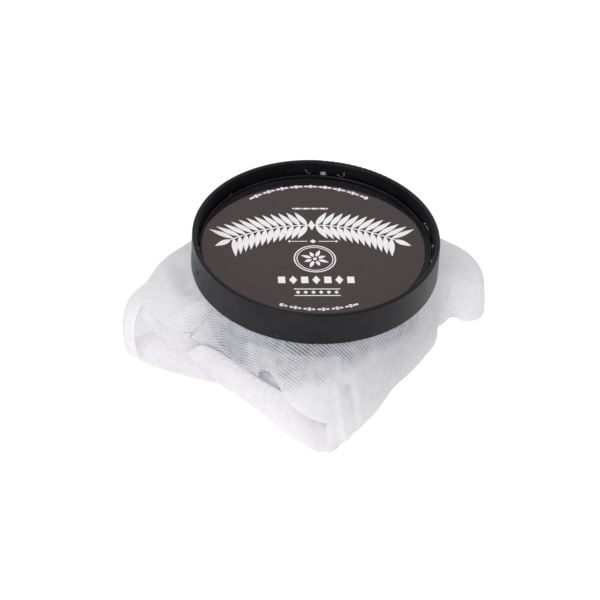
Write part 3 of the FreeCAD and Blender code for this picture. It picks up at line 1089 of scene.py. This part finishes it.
class ROSIN_OT_lint(bpy.types.Operator):
    """Lays the cotton fibres that the clamp has left in the holder's groove"""
    bl_idname = "rosin.lint"
    bl_label = "Lint"

    def execute(self, context):
        rng = random.Random(7)
        path = new_path("groove_lint", 0.022 * MM, 1)
        for middle, spread, count, length in TUFTS:
            for _ in range(count):
                angle = math.radians(middle + rng.uniform(-spread, spread))
                out = Vector((*on_circle(1.0, angle), 0))
                place = out * GROOVE_R + Vector((0, 0, GROOVE_Z))
                heading = Vector((rng.uniform(-1, 1), rng.uniform(-1, 1), rng.uniform(0.2, 1.2)))
                heading = (heading - out * heading.dot(out) * 0.8).normalized()
                spline = path.splines.new("NURBS")
                spline.points.add(4)
                for point in spline.points:
                    point.co = (*place, 1.0)
                    bend = Vector([rng.uniform(-0.8, 0.8) for _ in range(3)])
                    heading = (heading + bend).normalized()
                    place = place + heading * length * MM / 4
                    flat = Vector((place.x, place.y, 0))
                    limit = min(max(flat.length, LINT_INNER), LINT_OUTER)
                    place = flat * (limit / flat.length) + Vector((0, 0, place.z))
                spline.order_u = 3
                spline.use_endpoint_u = True
        shown("groove_lint", mesh_from_path(path), [loose_lint()])
        return {"FINISHED"}


# ---- the stage --------------------------------------------------------------
WHITE = (1.0, 1.0, 1.0, 1.0)
LIT_POINT = (0, 0, 0.012)
VIEW_CENTRE = Vector((0, 0, 0.0203))
VIEW_WIDTH = 0.12583893     # metres that the picture spans at VIEW_CENTRE
VIEW_SHIFT = (-0.0256667, -0.0828333)
SENSOR_MM = 36.0


def softbox(name, place, size, power):
    light = bpy.data.lights.new(name, "AREA")
    light.shape = "RECTANGLE"
    light.size, light.size_y = size
    light.energy = power
    holder = bpy.data.objects.new(name, light)
    holder.location = place
    holder.rotation_mode = "QUATERNION"
    holder.rotation_quaternion = (Vector(LIT_POINT) - Vector(place)).to_track_quat("-Z", "Y")
    bpy.context.scene.collection.objects.link(holder)


class ROSIN_OT_stage(bpy.types.Operator):
    """Sets the pale floor, the soft studio light and the camera"""
    bl_idname = "rosin.stage"
    bl_label = "Stage"

    def execute(self, context):
        settings = context.scene.rosin_stage
        bm = bmesh.new()
        bmesh.ops.create_grid(bm, x_segments=1, y_segments=1, size=3.0)
        floor = bpy.data.objects.new("floor", mesh_from(bm, "floor"))
        context.scene.collection.objects.link(floor)
        material, tree = new_material("lit_studio_table")
        output(tree, principled(tree, None, None, 0.9, Base_Color=linear("6e6e6e"),
                                Specular_IOR_Level=0.0, Emission_Color=WHITE,
                                Emission_Strength=0.95))
        floor.data.materials.append(material)

        world = bpy.data.worlds.new("studio")
        context.scene.world = world
        world.use_nodes = True
        sky = world.node_tree.nodes["Background"]
        sky.inputs["Color"].default_value = WHITE
        sky.inputs["Strength"].default_value = 0.8
        softbox("key_left", (-0.42, -0.72, 0.34), (0.5, 0.4), 2.7)

        lens = bpy.data.cameras.new("camera")
        camera = bpy.data.objects.new("camera", lens)
        context.scene.collection.objects.link(camera)
        context.scene.camera = camera
        lens.sensor_width = SENSOR_MM
        lens.lens = SENSOR_MM * settings.distance / VIEW_WIDTH
        lens.clip_start, lens.clip_end = 0.01, 20.0
        back = Vector((0, -math.cos(settings.elevation), math.sin(settings.elevation)))
        camera.location = VIEW_CENTRE + back * settings.distance
        camera.rotation_mode = "QUATERNION"
        level = (-back).to_track_quat("-Z", "Y")
        camera.rotation_quaternion = level @ Matrix.Rotation(settings.roll, 3, "Z").to_quaternion()
        lens.shift_x, lens.shift_y = VIEW_SHIFT
        context.scene.view_settings.view_transform = "Standard"
        return {"FINISHED"}


class ROSIN_PT_panel(bpy.types.Panel):
    """Lists the operators in the order in which they make the object"""
    bl_label = "Wrapped rosin cake"
    bl_idname = "ROSIN_PT_panel"
    bl_space_type = "VIEW_3D"
    bl_region_type = "UI"
    bl_category = "Rosin"

    def draw(self, context):
        for operator in OPERATORS:
            self.layout.operator(operator.bl_idname)
        for name in SETTINGS:
            settings = getattr(context.scene, name)
            box = self.layout.box()
            for key in settings.bl_rna.properties.keys():
                if key not in {"rna_type", "name"}:
                    box.prop(settings, key)


SETTINGS = {
    "rosin_holder": HolderSettings,
    "rosin_label": LabelSettings,
    "rosin_cloth": ClothSettings,
    "rosin_stage": StageSettings,
}
OPERATORS = (ROSIN_OT_stage, ROSIN_OT_holder, ROSIN_OT_gate, ROSIN_OT_cake, ROSIN_OT_label,
             ROSIN_OT_wrap_cloth, ROSIN_OT_hem, ROSIN_OT_lint)


def register():
    for cls in (*SETTINGS.values(), *OPERATORS, ROSIN_PT_panel):
        bpy.utils.register_class(cls)
    for name, cls in SETTINGS.items():
        setattr(bpy.types.Scene, name, bpy.props.PointerProperty(type=cls))


def unregister():
    for name in SETTINGS:
        delattr(bpy.types.Scene, name)
    for cls in (ROSIN_PT_panel, *reversed(OPERATORS), *reversed(tuple(SETTINGS.values()))):
        bpy.utils.unregister_class(cls)


def main():
    register()
    bpy.ops.rosin.stage()
    bpy.ops.rosin.holder()
    bpy.ops.rosin.gate()
    bpy.ops.rosin.cake()
    bpy.ops.rosin.label()
    bpy.ops.rosin.wrap_cloth()
    bpy.ops.rosin.hem()
    bpy.ops.rosin.lint()


if __name__ == "__main__":
    main()
